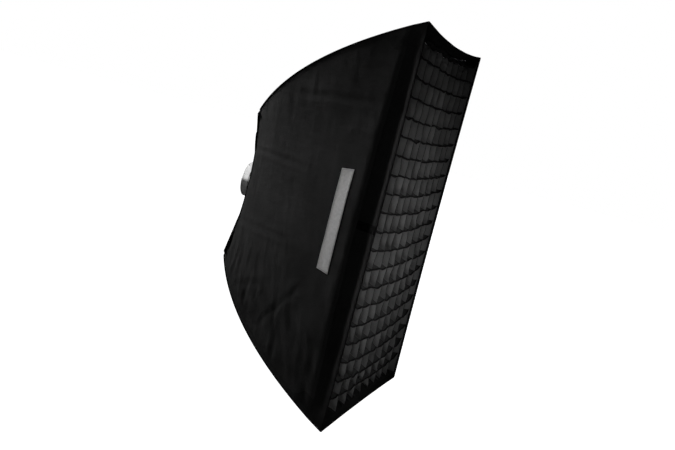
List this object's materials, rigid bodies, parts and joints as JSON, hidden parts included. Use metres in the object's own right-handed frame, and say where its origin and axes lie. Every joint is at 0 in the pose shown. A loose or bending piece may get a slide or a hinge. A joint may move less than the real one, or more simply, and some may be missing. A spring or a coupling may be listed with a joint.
{
  "type": "rectangular softbox",
  "caption": "Rectangular black fabric softbox on bent rods, with an egg-crate fabric grid in its lip, white diffusers inside and a rotating rod ring with a lever-clamped head collar.",
  "frame": {"origin": "centre of the head collar's rear seat, where the lamp head stops", "axes": "-Y is the way the light leaves, +Z runs along the long side of the face, +X along its short side"},
  "size_m": [0.9, 0.574, 1.2],
  "materials": {
    "outer_fabric": "matte black coated nylon, silver inside",
    "webbing": "matte black webbing and hook-and-loop tape",
    "grid_fabric": "matte black fabric slats",
    "diffusion_cloth": "matte white translucent nylon",
    "label_cloth": "blank woven label",
    "bright_metal": "bright satin",
    "steel": "zinc plated",
    "black_casting": "black powder coat",
    "black_polymer": "moulded, fine grain",
    "rubber": "matte",
    "fibreglass": "pultruded rod, satin",
    "nylon": "natural nylon"
  },
  "bodies": {
    "adapter": {"head_collar": "bright_metal", "grip_liner": "rubber", "clamp_band": "bright_metal", "cam_washer": "nylon", "thrust_ring": "nylon", "retaining_ring": "steel"},
    "draw_bolt": {"draw_bolt": "steel", "lever_pivot_barrel": "steel"},
    "adjuster_nut": {"adjuster_nut": "steel"},
    "clamp_lever": {"clamp_lever": "black_casting"},
    "lock_knob": {"lock_knob": "black_polymer"},
    "softbox": {"left_panel": "outer_fabric", "right_panel": "outer_fabric", "top_panel": "outer_fabric", "bottom_panel": "outer_fabric", "left_lip": "outer_fabric", "right_lip": "outer_fabric", "top_lip": "outer_fabric", "bottom_lip": "outer_fabric", "left_rear_flap": "outer_fabric", "right_rear_flap": "outer_fabric", "top_rear_flap": "outer_fabric", "bottom_rear_flap": "outer_fabric", "collar_cuff": "webbing", "left_lip_tab": "webbing", "right_lip_tab": "webbing", "corner_pocket_1": "webbing", "corner_pocket_2": "webbing", "corner_pocket_3": "webbing", "corner_pocket_4": "webbing", "baffle_strap_1": "webbing", "baffle_strap_2": "webbing", "baffle_strap_3": "webbing", "baffle_strap_4": "webbing", "egg_crate_grid": "grid_fabric", "front_diffuser": "diffusion_cloth", "inner_baffle": "diffusion_cloth", "label_patch": "label_cloth", "rod_ferrule_1": "steel", "rod_ferrule_2": "steel", "rod_ferrule_3": "steel", "rod_ferrule_4": "steel", "rod_ring": "black_casting", "rod_socket_1": "black_polymer", "rod_socket_2": "black_polymer", "rod_socket_3": "black_polymer", "rod_socket_4": "black_polymer", "rod_tip_1": "black_polymer", "rod_tip_2": "black_polymer", "rod_tip_3": "black_polymer", "rod_tip_4": "black_polymer", "rod_1": "fibreglass", "rod_2": "fibreglass", "rod_3": "fibreglass", "rod_4": "fibreglass", "brake_shoe": "nylon"}
  },
  "joints": [
    {"name": "box_rotation", "type": "hinge", "parent": "adapter", "child": "softbox", "pos_m": [0, -0.0666, 0], "axis": [0, 1, 0], "continuous": true},
    {"name": "draw_bolt_travel", "type": "slide", "parent": "adapter", "child": "draw_bolt", "axis": [0, 0, 1], "range_m": [-0.0011, 0]},
    {"name": "clamp_lever_swing", "type": "hinge", "parent": "draw_bolt", "child": "clamp_lever", "pos_m": [0.07, -0.017, 0.024], "axis": [0, 1, 0], "range_deg": [0, 100]},
    {"name": "adjuster_nut_turn", "type": "hinge", "parent": "draw_bolt", "child": "adjuster_nut", "pos_m": [0.07, -0.017, -0.018], "axis": [0, 0, 1], "continuous": true},
    {"name": "lock_knob_turn", "type": "hinge", "parent": "softbox", "child": "lock_knob", "pos_m": [0, -0.0666, 0.092], "axis": [0, 0, 1], "range_deg": [0, 270]}
  ],
  "couplings": [
    {"joint": "draw_bolt_travel", "follows": "clamp_lever_swing", "m_per_rad": -0.000573}
  ]
}
